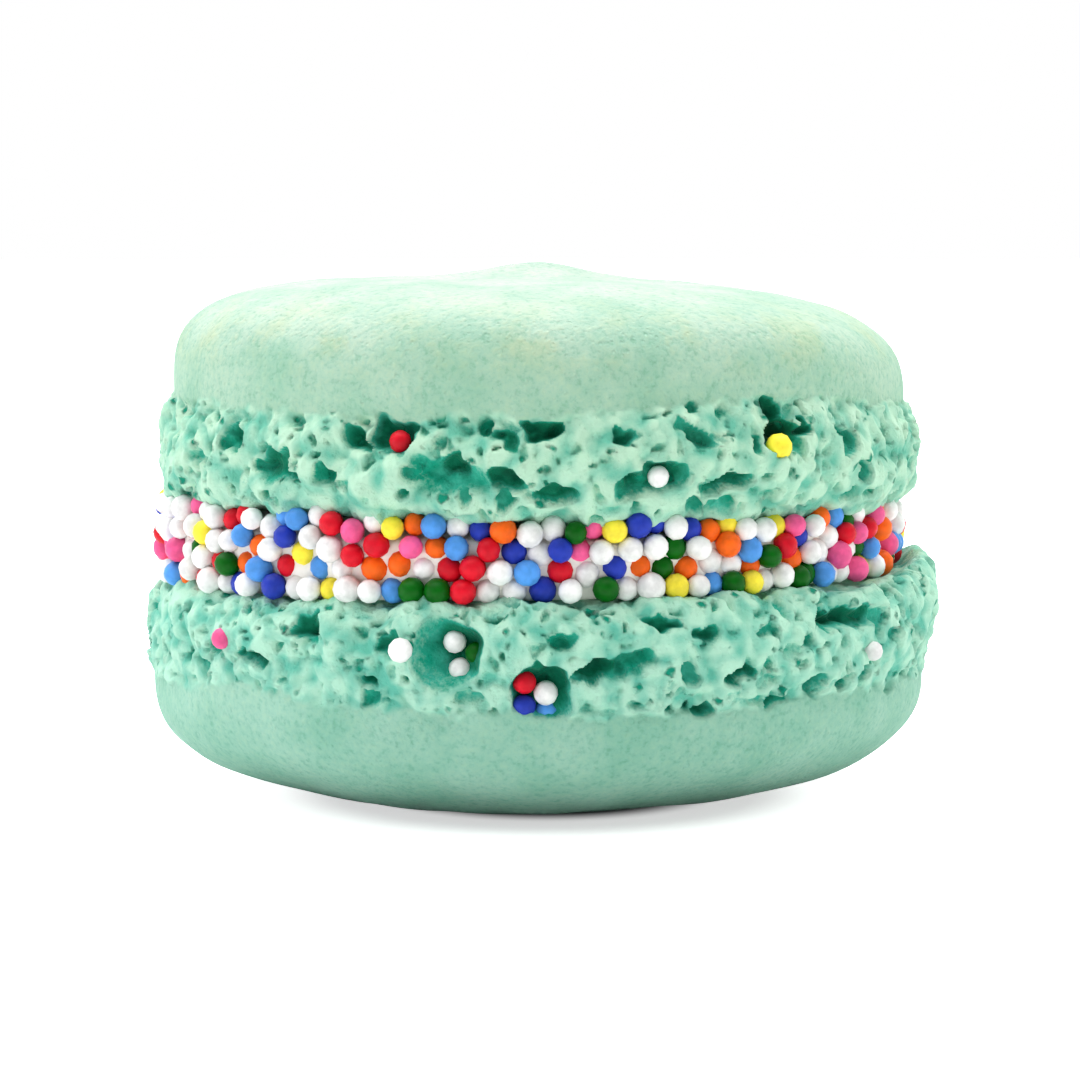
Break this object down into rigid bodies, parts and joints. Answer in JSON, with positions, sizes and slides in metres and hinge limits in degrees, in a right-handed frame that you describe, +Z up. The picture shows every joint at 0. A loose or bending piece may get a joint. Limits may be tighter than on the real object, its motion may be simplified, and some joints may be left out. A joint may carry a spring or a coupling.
{
  "type": "macaron",
  "caption": "Round mint-green sandwich macaron: smooth domed caps, craggy porous feet and a cream filling rolled in coloured nonpareils.",
  "frame": {"origin": "on the ground, under the middle of the macaron's bounding box", "axes": "+Z up, through both shells; -Y towards the viewer of the picture; +X to the picture's right"},
  "size_m": [0.0474, 0.0478, 0.032],
  "materials": {
    "mint_meringue": "matt baked almond meringue, finely pitted",
    "cream_filling": "smooth, slightly moist white cream",
    "white_nonpareil": "satin sugar",
    "red_nonpareil": "satin sugar",
    "pink_nonpareil": "satin sugar",
    "orange_nonpareil": "satin sugar",
    "yellow_nonpareil": "satin sugar",
    "green_nonpareil": "satin sugar",
    "dark_blue_nonpareil": "satin sugar",
    "light_blue_nonpareil": "satin sugar"
  },
  "bodies": {
    "root": {"upper_shell": "mint_meringue", "filling": "cream_filling", "lower_shell": "mint_meringue"}
  },
  "joints": []
}
